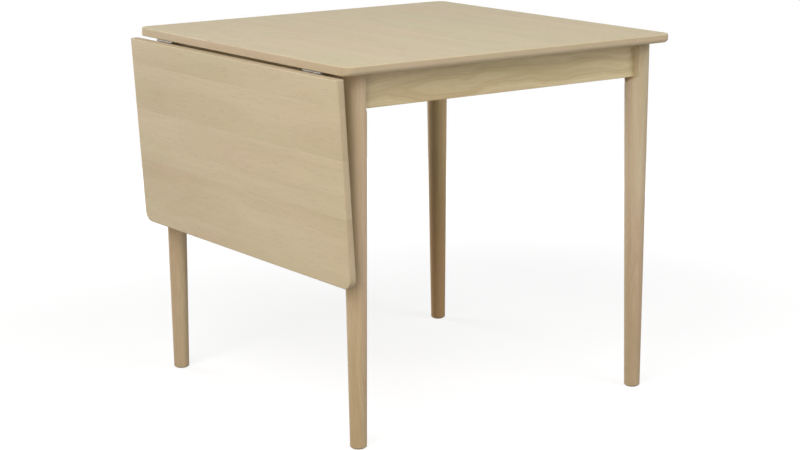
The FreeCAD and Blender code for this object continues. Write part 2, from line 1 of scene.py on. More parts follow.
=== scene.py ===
import math
import bmesh
import bpy
import numpy as np
from mathutils import Matrix, Vector


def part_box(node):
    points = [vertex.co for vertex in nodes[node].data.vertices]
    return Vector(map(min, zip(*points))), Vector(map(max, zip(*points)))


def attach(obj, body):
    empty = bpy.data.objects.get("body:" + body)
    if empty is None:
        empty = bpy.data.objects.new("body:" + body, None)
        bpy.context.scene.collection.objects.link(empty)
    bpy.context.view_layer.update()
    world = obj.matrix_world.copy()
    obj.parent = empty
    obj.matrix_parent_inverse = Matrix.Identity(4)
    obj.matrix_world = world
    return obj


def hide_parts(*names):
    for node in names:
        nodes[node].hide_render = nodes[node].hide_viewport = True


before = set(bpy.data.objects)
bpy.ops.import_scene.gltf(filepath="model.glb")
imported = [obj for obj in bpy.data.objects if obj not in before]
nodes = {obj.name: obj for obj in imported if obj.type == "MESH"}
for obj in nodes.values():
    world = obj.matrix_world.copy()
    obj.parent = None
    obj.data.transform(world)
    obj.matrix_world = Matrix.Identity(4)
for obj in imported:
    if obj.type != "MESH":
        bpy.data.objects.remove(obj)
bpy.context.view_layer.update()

# LEGS
# Four solid oak legs, turned to a straight taper, then sawn flat where the aprons butt against
# them. They are sanded and rubbed with white oil, so the grain shows pale under a matt film.
MM = 0.001
CORNERS = ("front_leaf", "front_far", "back_far", "back_leaf")
LEG_PALE = (0.565, 0.44, 0.285)
LEG_DEEP = (0.415, 0.295, 0.17)
# Each leg's tint is partly its own wood tone and partly painted light: the far leg, in the table's
# shade, is painted warmer for light bounced off the oak, and the legs that the warm low box lights
# are painted bluer to cancel its warmth
LEG_TONES_AND_LIGHT = ((1.10, 1.13, 1.19), (1.08, 1.16, 1.29), (1.12, 1.06, 0.92), (1.04, 1.05, 1.115))
LEG_HEARTS = (0.03, -0.02, 0.025, -0.035)
LEG_SLIDE = 3.0
# Painted shade towards each leg's foot, standing in for weak floor bounce, and how far up the leg it
# fades out
LEG_FOOT_SHADES = (0.55, 0.95, 1.2, 0.1)
FOOT_SHADE_FADE = 0.45

# Noise in the oak: changes per metre across the grain and along it, detail, and a slide of its own
HEART_SWAY = (5.0, 1.6, 2.0, 0.0)
HEART_DIP = (9.0, 3.1, 1.0, 7.0)
HEART_RIPPLE = (11.0, 8.5, 1.0, 9.0)
TONE_DRIFT = (2.0, 3.0, 1.0, 5.0)
CLOUD = (16.0, 1.3, 3.0, 0.0)
FIBRE = (420.0, 7.0, 2.0, 0.0)
HAIR = (1500.0, 38.0, 1.0, 0.0)
BOARD_BLUSH = (8.0, 2.2, 1.0, 3.0)
STICK_BLUSH = (22.0, 1.8, 1.0, 3.0)

# Growth: how far the tree's heart wanders, years per metre, and the course of a year
SWAY_WIDTH = 0.05
DIP_WIDTH = 0.045
YEARS = 210.0
DARK_YEARS = 75.0
LATE_WOOD = ((0.0, 0.12), (0.45, 0.2), (0.82, 1.0), (0.93, 0.75), (1.0, 0.12))
EARLY_WOOD = ((0.0, 1.0), (0.3, 0.8), (0.5, 0.0), (0.95, 0.0), (1.0, 1.0))
OPEN_PORES = ((0.56, 0.0), (0.66, 1.0))

# Strips of a glued-up board: how far apart their grain is, their glue line and how their tone fades
STRIP_SLIDE = 40.0
STRIP_SLIDE_STEP = 0.37
GLUE_LINE_SHARE = 0.0005
MIDDLE_TONE = 0.5
DRIFT_FADE = ((0.34, 0.1), (0.64, 1.0))

# Colour: how much each kind of figure deepens it, and the tints of blushes, ends and sawn edges
PLAIN_DEPTH = 0.32
LATE_DEPTH = 0.24
CLOUD_DEPTH = 1.1
DARK_YEAR_DEPTH = 1.3
FIBRE_DEPTH = 0.34
BLUSH_TINTS = ((0.3, (1.0, 0.965, 0.96)), (0.7, (0.955, 0.985, 0.93)))
END_GRAIN = ((0.6, 1.0), (0.95, (0.89, 0.83, 0.77)))
BOARD_EDGE = ((0.2, (0.865, 0.815, 0.815)), (0.75, 1.0))

# Surface: the matt oil, the relief of the grain, and the edges that hands and cloths rub
OIL_ROUGH = 0.50
FIBRE_ROUGH = 0.14
PORE_ROUGH = 0.25
OIL_SHEEN = 0.16
LATE_RELIEF = 0.35
FIBRE_RELIEF = 0.5
OAK_RELIEF_STRENGTH = 0.35
OAK_RELIEF = 0.15 * MM
OAK_RUB = 2.0 * MM
OAK_RUB_LIFT = 1.03
RUB_SAMPLES = 4
RUBBED_BELOW = 0.75
PLAIN_ABOVE = 0.98


def add_node(tree, kind, inputs=None, **settings):
    """A shader node with its settings, and its inputs linked or set."""
    node = tree.nodes.new("ShaderNode" + kind)
    for name, setting in settings.items():
        setattr(node, name, setting)
    for key, given in (inputs or {}).items():
        if isinstance(given, bpy.types.NodeSocket):
            tree.links.new(given, node.inputs[key])
        else:
            node.inputs[key].default_value = given
    return node


def sum_up(tree, kind, *terms):
    """One sum of shader values: ADD, MULTIPLY, FRACT and so on."""
    return add_node(tree, "Math", dict(enumerate(terms)), operation=kind).outputs[0]


def swing(tree, noise, width):
    """Noise as a swing of this width about zero."""
    return sum_up(tree, "MULTIPLY_ADD", noise, width, -width / 2)


def steps(tree, position, stops, smooth="LINEAR"):
    """A ramp over position, given as (place, grey or colour) stops."""
    node = add_node(tree, "ValToRGB", {"Fac": position})
    ramp = node.color_ramp
    ramp.interpolation = smooth
    while len(ramp.elements) < len(stops):
        ramp.elements.new(1)
    for element, (spot, tint) in zip(ramp.elements, stops):
        element.position = spot
        element.color = (*tint, 1) if isinstance(tint, tuple) else (tint, tint, tint, 1)
    return node.outputs["Color"]


def mix_tints(tree, share, first, second, kind="MIX"):
    """Two colours mixed by a share, or laid over one another by another kind of mix."""
    inputs = {0: share, 6: first, 7: second}
    return add_node(tree, "Mix", inputs, data_type="RGBA", blend_type=kind).outputs[2]


def shaded(tree, tint, factor):
    """A colour made lighter or darker by a factor."""
    return add_node(tree, "VectorMath", {0: tint, 3: factor}, operation="SCALE").outputs[0]


def rubbed(tree, radius, lift):
    """A factor for edges that hands and cloths rub: lift at an edge, one elsewhere."""
    rounded = add_node(tree, "Bevel", {"Radius": radius}, samples=RUB_SAMPLES).outputs[0]
    facing = add_node(tree, "NewGeometry").outputs["Normal"]
    alike = add_node(tree, "VectorMath", {0: rounded, 1: facing}, operation="DOT_PRODUCT")
    return steps(tree, alike.outputs["Value"], ((RUBBED_BELOW, lift), (PLAIN_ABOVE, 1.0)))


def new_finish(name):
    """A new material and its node tree."""
    material = bpy.data.materials.new(name)
    material.use_nodes = True
    return material, material.node_tree


def lay_finish(tree, tint, rough, relief, strength, depth):
    """Lay colour, roughness and a fine relief on a material's shader."""
    shader = tree.nodes["Principled BSDF"]
    bump = add_node(tree, "Bump", {"Strength": strength, "Distance": depth, "Height": relief})
    tree.links.new(tint, shader.inputs["Base Color"])
    tree.links.new(rough, shader.inputs["Roughness"])
    tree.links.new(bump.outputs[0], shader.inputs["Normal"])
    return shader


def grain_noise(tree, place, kind, slide):
    """Noise drawn out along the grain. slide moves it along, so that no two boards are alike."""
    across, along, depth = place
    often_across, often_along, detail, own_slide = kind
    point = add_node(tree, "CombineXYZ", {
        0: sum_up(tree, "MULTIPLY", across, often_across),
        1: sum_up(tree, "MULTIPLY_ADD", along, often_along, sum_up(tree, "ADD", slide, own_slide)),
        2: sum_up(tree, "MULTIPLY", depth, often_across),
    }).outputs[0]
    return add_node(tree, "TexNoise", {"Vector": point, "Scale": 1.0, "Detail": detail}).outputs[0]


def glued_strips(tree, place, strips, first_edge):
    """The tone, the slide along the grain and the heart of each strip of a glued-up board."""
    total = sum(strip[0] for strip in strips)
    share = add_node(tree, "MapRange", {
        "Value": place[0], "From Min": first_edge, "From Max": first_edge + total}).outputs[0]
    hearts, tones = [], []
    start = 0.0
    for number, (width, first_tone, last_tone, heart) in enumerate(strips):
        slide_share = (number * STRIP_SLIDE_STEP) % 1.0
        hearts.append((start / total, (slide_share, (start + width * heart) / total, 0.0)))
        tones.append((start / total, MIDDLE_TONE + first_tone))
        start += width
        tones.append((start / total - GLUE_LINE_SHARE, MIDDLE_TONE + last_tone))
    strip = add_node(tree, "SeparateColor", {0: steps(tree, share, hearts, "CONSTANT")}).outputs
    slide = sum_up(tree, "MULTIPLY", strip[0], STRIP_SLIDE)
    pith = sum_up(tree, "MULTIPLY_ADD", strip[1], total, first_edge)
    tone = sum_up(tree, "SUBTRACT", steps(tree, share, tones), MIDDLE_TONE)
    drift = grain_noise(tree, place, TONE_DRIFT, slide)
    tone = sum_up(tree, "MULTIPLY", tone, steps(tree, drift, DRIFT_FADE))
    return tone, slide, pith


def from_heart(tree, place, slide, pith, pith_depth, ripple):
    """How far a spot is from the tree's heart, which wanders along the board."""
    sway = swing(tree, grain_noise(tree, place, HEART_SWAY, slide), SWAY_WIDTH)
    dip = swing(tree, grain_noise(tree, place, HEART_DIP, slide), DIP_WIDTH)
    wave = swing(tree, grain_noise(tree, place, HEART_RIPPLE, slide), ripple)
    beside = sum_up(tree, "ADD", sum_up(tree, "SUBTRACT", place[0], pith), sway)
    beside = sum_up(tree, "ADD", beside, wave)
    below = sum_up(tree, "ADD", sum_up(tree, "ADD", place[2], pith_depth), dip)
    reach = add_node(tree, "CombineXYZ", {0: beside, 1: below}).outputs[0]
    return add_node(tree, "VectorMath", {0: reach}, operation="LENGTH").outputs["Value"]


def sawn_tint(tree, grain, flat, is_board):
    """The tint of end grain, which drinks more oil and is darker, or of a board's edges, which are
    darker.
    """
    facing = add_node(tree, "TexCoord").outputs["Normal"]
    facing = add_node(tree, "VectorRotate", {"Vector": facing, "Rotation": flat},
                      rotation_type="EULER_XYZ").outputs[0]
    facing = add_node(tree, "SeparateXYZ", {0: facing}).outputs
    if is_board:
        up = sum_up(tree, "ABSOLUTE", facing["xyz".index(grain[2])])
        return steps(tree, up, BOARD_EDGE)
    end = sum_up(tree, "ABSOLUTE", facing["xyz".index(grain[1])])
    return steps(tree, end, END_GRAIN)


def oak(name, grain, shift, pale, deep, strips=(), flat=(0.0, 0.0, 0.0), pith_depth=0.06,
        figure=0.5, ripple=0.0, pore=0.16, foot_shade=0.0):
    """White-oiled oak, or bare beech in its own colours.

    grain names the axes that run across the grain, along it and into the board. shift is the
    place of its first edge or heart, its slide along the grain, and its lower face. strips lists
    the glued strips across the board from its lowest edge, as (width, depth of tone at its start
    and at its end, place of its heart as a share of the width). flat turns a hanging board back to
    lie flat, so that the grain follows it. The foot shade is painted shade: it darkens a leg
    towards the floor, in place of the light that a duller floor would not throw back up.
    """
    material, tree = new_finish(name)
    spot = add_node(tree, "TexCoord").outputs["Object"]
    spot = add_node(tree, "Mapping", {"Vector": spot, "Rotation": flat}).outputs[0]
    axes = add_node(tree, "SeparateXYZ", {0: spot}).outputs
    place = [axes["xyz".index(axis)] for axis in grain]
    if strips:
        tone, slide, pith = glued_strips(tree, place, strips, shift[0])
    else:
        tone, slide, pith = 0.0, shift[1], shift[0]
    # Painted shade: a leg grows darker towards the floor and is plain higher up
    if foot_shade:
        tone = add_node(tree, "MapRange", {
            "Value": place[1], "From Max": FOOT_SHADE_FADE, "To Min": foot_shade, "To Max": 0.0}).outputs[0]

    # Growth rings, with open pores in the early wood of each year
    reach = from_heart(tree, place, slide, pith, pith_depth - shift[2], ripple)
    year = sum_up(tree, "FRACT", sum_up(tree, "MULTIPLY", reach, YEARS))
    late = steps(tree, year, LATE_WOOD)
    early = steps(tree, year, EARLY_WOOD)
    outward = add_node(tree, "CombineXYZ", {0: reach}).outputs[0]
    dark_years = add_node(tree, "TexNoise", {"Vector": outward, "Scale": DARK_YEARS, "Detail": 1.0})
    cloud = grain_noise(tree, place, CLOUD, slide)
    fibre = grain_noise(tree, place, FIBRE, slide)
    hair = grain_noise(tree, place, HAIR, slide)
    pores = sum_up(tree, "MULTIPLY", steps(tree, hair, OPEN_PORES), early)

    # Colour: pale oiled wood, deeper in late wood and in dark years, dark in the pores
    deepness = sum_up(tree, "MULTIPLY_ADD", late, LATE_DEPTH * figure, PLAIN_DEPTH)
    for noise, strength in (
        (cloud, CLOUD_DEPTH * figure),
        (dark_years.outputs[0], DARK_YEAR_DEPTH * figure),
        (fibre, FIBRE_DEPTH),
    ):
        deepness = sum_up(tree, "ADD", deepness, swing(tree, noise, strength))
    deepness = sum_up(tree, "ADD", deepness, tone)
    wood = mix_tints(tree, deepness, (*pale, 1), (*deep, 1))
    blush = grain_noise(tree, place, BOARD_BLUSH if strips else STICK_BLUSH, slide)
    wood = mix_tints(tree, 1.0, wood, steps(tree, blush, BLUSH_TINTS), "MULTIPLY")
    wood = mix_tints(tree, 1.0, wood, sawn_tint(tree, grain, flat, bool(strips)), "MULTIPLY")
    pored = sum_up(tree, "MULTIPLY_ADD", pores, -pore, 1.0)
    wood = shaded(tree, wood, sum_up(tree, "MULTIPLY", pored, rubbed(tree, OAK_RUB, OAK_RUB_LIFT)))

    # Surface: matt oil, duller in the pores, which lie a little below the late wood
    rough = sum_up(tree, "MULTIPLY_ADD", fibre, FIBRE_ROUGH, OIL_ROUGH)
    rough = sum_up(tree, "MULTIPLY_ADD", pores, PORE_ROUGH, rough)
    relief = sum_up(tree, "MULTIPLY_ADD", late, LATE_RELIEF, sum_up(tree, "MULTIPLY", pores, -1.0))
    relief = sum_up(tree, "MULTIPLY_ADD", fibre, FIBRE_RELIEF, relief)
    shader = lay_finish(tree, wood, rough, relief, OAK_RELIEF_STRENGTH, OAK_RELIEF)
    shader.inputs["Specular IOR Level"].default_value = OIL_SHEEN
    return material


def dress(node, material):
    """Give a CAD node its finish."""
    slots = nodes[node].data.materials
    slots.clear()
    slots.append(material)


for number, corner in enumerate(CORNERS):
    low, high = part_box(f"leg_{corner}")
    middle = (low + high) / 2
    heart = (middle.x + LEG_HEARTS[number], LEG_SLIDE * number, middle.y)
    # Each leg's colours carry its own tone and its painted light
    pale = [part * share for part, share in zip(LEG_PALE, LEG_TONES_AND_LIGHT[number])]
    deep = [part * share for part, share in zip(LEG_DEEP, LEG_TONES_AND_LIGHT[number])]
    leg_oak = oak(f"oak_leg_{corner}", "xzy", heart, pale, deep, pith_depth=0.05, figure=0.85,
                  ripple=0.02, foot_shade=LEG_FOOT_SHADES[number])
    dress(f"leg_{corner}", leg_oak)

# APRONS
# Four oak rails between the legs, planed to one thickness, with flat-sawn figure along them.
# They butt against the legs' flats; the one by the leaf is notched for the support bars.
APRON_GRAIN = {"front": "zxy", "back": "zxy", "leaf_side": "zyx", "far_side": "zyx"}
APRON_HEARTS = (-0.012, 0.02, -0.01, 0.012)
APRON_FIRST_SLIDE = 11.0
APRON_SLIDE = 5.0
APRON_PALE = (0.74, 0.635, 0.42)
APRON_DEEP = (0.53, 0.413, 0.24)
for number, (apron, grain) in enumerate(APRON_GRAIN.items()):
    low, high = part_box(f"apron_{apron}")
    face = low.y if grain == "zxy" else low.x
    slide = APRON_FIRST_SLIDE + APRON_SLIDE * number
    heart = ((low.z + high.z) / 2 + APRON_HEARTS[number], slide, face)
    apron_oak = oak(f"oak_apron_{apron}", grain, heart, APRON_PALE, APRON_DEEP,
                    pith_depth=0.016, figure=1.1, ripple=0.05)
    dress(f"apron_{apron}", apron_oak)

# CORNER BLOCKS
# Beech blocks sawn at 45 degrees and left bare, screwed to two aprons each, and bored for the
# hanger bolt that pulls the leg into the corner.
BEECH_PALE = (0.62, 0.44, 0.28)
BEECH_DEEP = (0.47, 0.30, 0.17)
BEECH_PORE = 0.08
BLOCK_FIRST_SLIDE = 20.0
for number, corner in enumerate(CORNERS):
    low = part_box(f"corner_block_{corner}")[0]
    heart = (low.x, BLOCK_FIRST_SLIDE + number, low.z)
    beech = oak(f"beech_block_{corner}", "xyz", heart, BEECH_PALE, BEECH_DEEP, pore=BEECH_PORE)
    dress(f"corner_block_{corner}", beech)

# HANGER BOLTS, NUTS AND WASHERS
# Bought steel, bright zinc. Each bolt has a wood thread in the leg, a plain neck and a machine
# thread with a washer and a hexagon nut behind the corner block.
BOLT_RADIUS = 3.0 * MM
BOLT_CHAMFER = 0.6 * MM
BOLT_END = 5.0 * MM
MACHINE_CORE = 2.5 * MM
MACHINE_PITCH = 1.0 * MM
MACHINE_LENGTH = 36 * MM
NECK_LENGTH = 24 * MM
NECK_SHARE = 0.97
WOOD_CORE = 2.1 * MM
WOOD_PITCH = 2.4 * MM
NUT_HEIGHT = 5.0 * MM
NUT_RADIUS = 5.8 * MM
NUT_SIDE = math.radians(60)
NUT_FLAT = NUT_RADIUS * math.cos(NUT_SIDE / 2)
NUT_FACE_SHARE = 0.95
NUT_CHAMFER = math.radians(30)
NUT_BORE = 3.02 * MM
NUT_EASE = 0.3 * MM
WASHER_RADIUS = 9.0 * MM
WASHER_BORE = 3.2 * MM
WASHER_THICKNESS = 1.6 * MM
WASHER_EASE = 0.25 * MM
ZINC = (0.66, 0.65, 0.62)
FILM_STREAKS = (900.0, 40.0, 900.0)
FILM_DULL_SHARE = 0.72
FILM_STREAK_ROUGH = 0.25
FILM_RUB = 0.4 * MM
FILM_RUB_LIFT = 1.15
FILM_RELIEF_STRENGTH = 0.2
FILM_RELIEF = 0.05 * MM
THREAD_STEPS = 4
HEAD_END_SHARE = 0.1
SAME_WIDTH = 0.1 * MM
WELD = 0.0001 * MM
SMOOTH_BELOW = math.radians(35)


def plated(name, tint, rough, cloud_size):
    """Plated steel with a cloudy film and fine streaks."""
    material, tree = new_finish(name)
    spot = add_node(tree, "TexCoord").outputs["Object"]
    cloud = add_node(tree, "TexNoise", {"Vector": spot, "Scale": 1 / cloud_size, "Detail": 4.0})
    streak = add_node(tree, "Mapping", {"Vector": spot, "Scale": FILM_STREAKS}).outputs[0]
    streak = add_node(tree, "TexNoise", {"Vector": streak, "Scale": 1.0, "Detail": 2.0}).outputs[0]
    dull = [part * FILM_DULL_SHARE for part in tint]
    film = mix_tints(tree, cloud.outputs[0], (*dull, 1), (*tint, 1))
    film = shaded(tree, film, rubbed(tree, FILM_RUB, FILM_RUB_LIFT))
    streaked = sum_up(tree, "MULTIPLY_ADD", streak, FILM_STREAK_ROUGH, rough)
    shader = lay_finish(tree, film, streaked, streak, FILM_RELIEF_STRENGTH, FILM_RELIEF)
    shader.inputs["Metallic"].default_value = 1.0
    return material


def full_turn(count):
    """Angles all round, in equal steps."""
    return [math.radians(360 * step / count) for step in range(count)]


ROUND = full_turn(24)


def ring(angles, radius, height):
    """Points round the Z axis. Radius and height may depend on the angle."""
    points = []
    for angle in angles:
        out = radius(angle) if callable(radius) else radius
        up = height(angle) if callable(height) else height
        points.append(Vector((out * math.cos(angle), out * math.sin(angle), up)))
    return points


def skin(rings):
    """Points and faces over a stack of rings. A ring of one point closes an end."""
    points, faces = [], []
    last = None
    for one in rings:
        now = range(len(points), len(points) + len(one))
        points += one
        if last:
            count = max(len(last), len(now))
            for side in range(count):
                after = (side + 1) % count
                face = [last[side % len(last)], last[after % len(last)],
                        now[after % len(now)], now[side % len(now)]]
                faces.append(list(dict.fromkeys(face)))
        last = now
    return points, faces


def thread(angles, core, crest, start, end, pitch):
    """Rings of a right-hand thread from start down to end, running out at both ends."""
    rings = []
    count = round((start - end) / pitch * THREAD_STEPS)
    for step in range(count + 1):
        height = start + (end - start) * step / count
        full = min(1.0, (start - height) / pitch, (height - end) / pitch)

        def radius(angle):
            turn = (height / pitch - angle / math.tau) % 1
            return core + full * (crest - core) * (1 - abs(2 * turn - 1))
        rings.append(ring(angles, radius, height))
    return rings


def separate_solids(node):
    """The corner points of each solid of a CAD node."""
    mesh = nodes[node].data
    spots = np.array([vertex.co for vertex in mesh.vertices])
    corners, merged = np.unique(spots.round(6), axis=0, return_inverse=True)
    merged = merged.reshape(-1)
    leader = list(range(len(corners)))

    def first_of(corner):
        while leader[corner] != corner:
            corner = leader[corner]
        return corner
    for face in mesh.polygons:
        first = first_of(merged[face.vertices[0]])
        for vertex in face.vertices:
            leader[first_of(merged[vertex])] = first
    groups = {}
    for corner in range(len(corners)):
        groups.setdefault(first_of(corner), []).append(corner)
    return [corners[group] for group in groups.values()]


def solids_of(node):
    """For each long solid of a CAD node, its place and its length.

    The place is a matrix with its origin in the middle of the head's end and Z out of the head.
    Where both ends are alike, the end nearer to the table's middle is the head's.
    """
    found = []
    for points in separate_solids(node):
        turn = np.linalg.svd(points - points.mean(axis=0))[2]
        turned = points @ turn.T
        low, high = turned.min(axis=0), turned.max(axis=0)
        middle = (low + high) / 2
        wide = np.hypot(turned[:, 1] - middle[1], turned[:, 2] - middle[2])
        near_end = HEAD_END_SHARE * (high[0] - low[0])
        top_wide = wide[turned[:, 0] > high[0] - near_end].max()
        bottom_wide = wide[turned[:, 0] < low[0] + near_end].max()
        ends = [turn.T @ np.array([end, middle[1], middle[2]]) for end in (low[0], high[0])]
        head_high = np.hypot(*ends[1][:2]) < np.hypot(*ends[0][:2])
        if abs(top_wide - bottom_wide) > SAME_WIDTH:
            head_high = top_wide > bottom_wide
        head, tip = (ends[1], ends[0]) if head_high else (ends[0], ends[1])
        axis = Vector(head - tip)
        upright = axis.to_track_quat("Z", "Y").to_matrix().to_4x4()
        found.append((Matrix.Translation(Vector(head)) @ upright, axis.length))
    return found


def make_piece(name, parts, material, body, slot, *stands_for):
    """Join placed shapes to one piece that rides with a body in place of CAD nodes."""
    points, faces = [], []
    for (shape_points, shape_faces), place in parts:
        first = len(points)
        points += [place @ point for point in shape_points]
        faces += [[first + corner for corner in face] for face in shape_faces]
    mesh = bpy.data.meshes.new(name)
    mesh.from_pydata(points, [], faces)
    shape = bmesh.new()
    shape.from_mesh(mesh)
    bmesh.ops.remove_doubles(shape, verts=shape.verts, dist=WELD)
    bmesh.ops.recalc_face_normals(shape, faces=shape.faces)
    shape.to_mesh(mesh)
    shape.free()
    mesh.shade_smooth()
    mesh.set_sharp_from_angle(angle=SMOOTH_BELOW)
    mesh.materials.append(material)
    piece = bpy.data.objects.new(name, mesh)
    bpy.context.scene.collection.objects.link(piece)
    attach(piece, body)
    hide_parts(*stands_for)


def hexagon(angle):
    """How far a nut's side is from its middle at an angle."""
    return NUT_FLAT / math.cos(angle % NUT_SIDE - NUT_SIDE / 2)


def nut():
    """A hexagon nut with its corners turned off, from its outer face at zero downwards."""
    face = NUT_FACE_SHARE * NUT_FLAT

    def fall(angle):
        return (hexagon(angle) - face) * math.tan(NUT_CHAMFER)
    rings = [
        ring(ROUND, NUT_BORE + NUT_EASE, 0.0),
        ring(ROUND, face, 0.0),
        ring(ROUND, hexagon, lambda angle: -fall(angle)),
        ring(ROUND, hexagon, lambda angle: fall(angle) - NUT_HEIGHT),
        ring(ROUND, face, -NUT_HEIGHT),
        ring(ROUND, NUT_BORE + NUT_EASE, -NUT_HEIGHT),
        ring(ROUND, NUT_BORE, NUT_EASE - NUT_HEIGHT),
        ring(ROUND, NUT_BORE, -NUT_EASE),
    ]
    return skin(rings + rings[:1])


def washer():
    """A flat ring with tumbled edges, from its outer face at zero downwards."""
    low = -WASHER_THICKNESS
    outline = [
        (WASHER_BORE, -WASHER_EASE),
        (WASHER_BORE + WASHER_EASE, 0.0),
        (WASHER_RADIUS - WASHER_EASE, 0.0),
        (WASHER_RADIUS, -WASHER_EASE),
        (WASHER_RADIUS, low + WASHER_EASE),
        (WASHER_RADIUS - WASHER_EASE, low),
        (WASHER_BORE + WASHER_EASE, low),
        (WASHER_BORE, low + WASHER_EASE),
        (WASHER_BORE, -WASHER_EASE),
    ]
    return skin([ring(ROUND, radius, height) for radius, height in outline])


def hanger_bolt(length):
    """A bolt with a machine thread from its end at zero downwards, a neck and a wood thread."""
    neck = NECK_SHARE * BOLT_RADIUS
    neck_end = -MACHINE_LENGTH - NECK_LENGTH
    wood_start = neck_end - BOLT_CHAMFER
    rings = [[Vector((0.0, 0.0, 0.0))], ring(ROUND, BOLT_RADIUS - BOLT_CHAMFER, 0.0)]
    rings += thread(ROUND, MACHINE_CORE, BOLT_RADIUS, -BOLT_CHAMFER, -MACHINE_LENGTH, MACHINE_PITCH)
    rings += [ring(ROUND, neck, -MACHINE_LENGTH - BOLT_CHAMFER), ring(ROUND, neck, neck_end)]
    rings += thread(ROUND, WOOD_CORE, BOLT_RADIUS, wood_start, -length + BOLT_RADIUS, WOOD_PITCH)
    return skin(rings + [[Vector((0.0, 0.0, -length))]])


zinc = plated("bright_zinc", ZINC, rough=0.22, cloud_size=6 * MM)
bolt_places = solids_of("hanger_bolts")
nut_down = Matrix.Translation((0.0, 0.0, -BOLT_END))
washer_down = Matrix.Translation((0.0, 0.0, -BOLT_END - NUT_HEIGHT))
make_piece("threaded_hanger_bolts", [(hanger_bolt(length), place) for place, length in bolt_places],
           zinc, "frame", "zinc_fasteners", "hanger_bolts")
make_piece("hexagon_nuts", [(nut(), place @ nut_down) for place, length in bolt_places],
           zinc, "frame", "zinc_fasteners", "bolt_nuts")
make_piece("flat_washers", [(washer(), place @ washer_down) for place, length in bolt_places],
           zinc, "frame", "zinc_fasteners", "bolt_washers")

# SCREWS
# Cross-head wood screws, bright zinc: deep heads through the corner blocks, and pan heads in the
# brackets, guides and end blocks. Their shanks are threaded all the way to a sharp point.
BLOCK_SCREW = {"head": 4.0 * MM, "height": 3.0 * MM, "shank": 2.0 * MM}
PAN_SCREW = {"head": 3.5 * MM, "height": 2.2 * MM, "shank": 1.75 * MM}
SCREW_KINDS = {
    "corner_block_screws": BLOCK_SCREW,
    "bracket_screws": PAN_SCREW,
    "guide_screws": PAN_SCREW,
    "end_block_screws": PAN_SCREW,
}
SCREW_PITCH = 1.6 * MM
QUARTER = math.radians(90)
CORE_SHARE = 0.68
POINT_SHARE = 2
ARM_SHARE = 0.60
ARM_HALF_SHARE = 0.15
ARM_ROUNDING = 0.001
CROWN_SHARE = 0.45
RECESS_SHARE = 0.62
SUNK_RECESS_SHARE = 0.45
RECESS_FLOOR_SHARE = 0.6
RECESS_TIP_SHARE = 1.2
HEAD_RING_SHARES = (0.0, 0.4, 0.75, 1.0)


def screw(length, head, shank, height=0.0, sunk=False):
    """A cross-head screw from its head's top at zero downwards. A sunk head is a plain cone."""
    arm, half = ARM_SHARE * head, ARM_HALF_SHARE * head
    arm_edge = math.atan2(half, arm)
    corner = QUARTER / 2
    side = (arm_edge + corner) / 2
    quarter = (0.0, arm_edge, side, corner, QUARTER - side, QUARTER - arm_edge)
    angles = [turn * QUARTER + angle for turn in range(4) for angle in quarter]
    crown = 0.0 if sunk else CROWN_SHARE * height
    recess = SUNK_RECESS_SHARE * head if sunk else RECESS_SHARE * height

    def cross(angle):
        """How far the rim of the cross is from its middle at an angle."""
        off = abs((angle + corner) % QUARTER - corner)
        return arm / math.cos(off) if off < arm_edge + ARM_ROUNDING else half / math.sin(off)

    def head_ring(share):
        """Points on the domed head, this share of the way from the cross to the head's rim."""
        def radius(angle):
            return cross(angle) * (1 - share) + head * share
        return ring(angles, radius, lambda angle: -crown * (radius(angle) / head) ** 2)
    rings = [
        [Vector((0.0, 0.0, -RECESS_TIP_SHARE * recess))],
        ring(angles, lambda angle: RECESS_FLOOR_SHARE * cross(angle), -recess),
    ]
    rings += [head_ring(share) for share in HEAD_RING_SHARES]
    seat = shank - head if sunk else -height
    if not sunk:
        rings.append(ring(angles, head, seat))
    point = -length + POINT_SHARE * shank
    rings += thread(angles, CORE_SHARE * shank, shank, seat, point, SCREW_PITCH)
    return skin(rings + [[Vector((0.0, 0.0, -length))]])


for node, kind in SCREW_KINDS.items():
    screws = [(screw(length, **kind), place) for place, length in solids_of(node)]
    make_piece(f"cross_head_{node}", screws, zinc, "frame", "zinc_fasteners", node)

# GLIDES
# Moulded nylon discs with a stem, pressed into the foot of each leg. The rim is rounded so that
# the table slides.
GLIDE_RADIUS = 13.0 * MM
GLIDE_SOLE = 11.0 * MM
GLIDE_SOLE_RISE = 1.2 * MM
GLIDE_THICKNESS = 2.0 * MM
GLIDE_TOP_EASE = 0.4 * MM
STEM_RADIUS = 3.0 * MM
STEM_GROOVE = 0.4 * MM
STEM_RIBS = (6.0 * MM, 9.0 * MM, 12.0 * MM, 15.0 * MM)
STEM_TIP = 2.0 * MM
STEM_TIP_SHARE = 0.9
GLIDE_ROUND = full_turn(32)
QUARTER_ROUND = [math.radians(30 * step) for step in range(4)]
NYLON_DARK = (0.66, 0.60, 0.50)
NYLON_LIGHT = (0.74, 0.69, 0.60)
NYLON_SPECKS = 900.0
NYLON_ROUGH = 0.4
NYLON_SPECK_ROUGH = 0.2
NYLON_RUB = 0.5 * MM
NYLON_RUB_LIFT = 1.06
NYLON_RELIEF_STRENGTH = 0.2
NYLON_RELIEF = 0.05 * MM


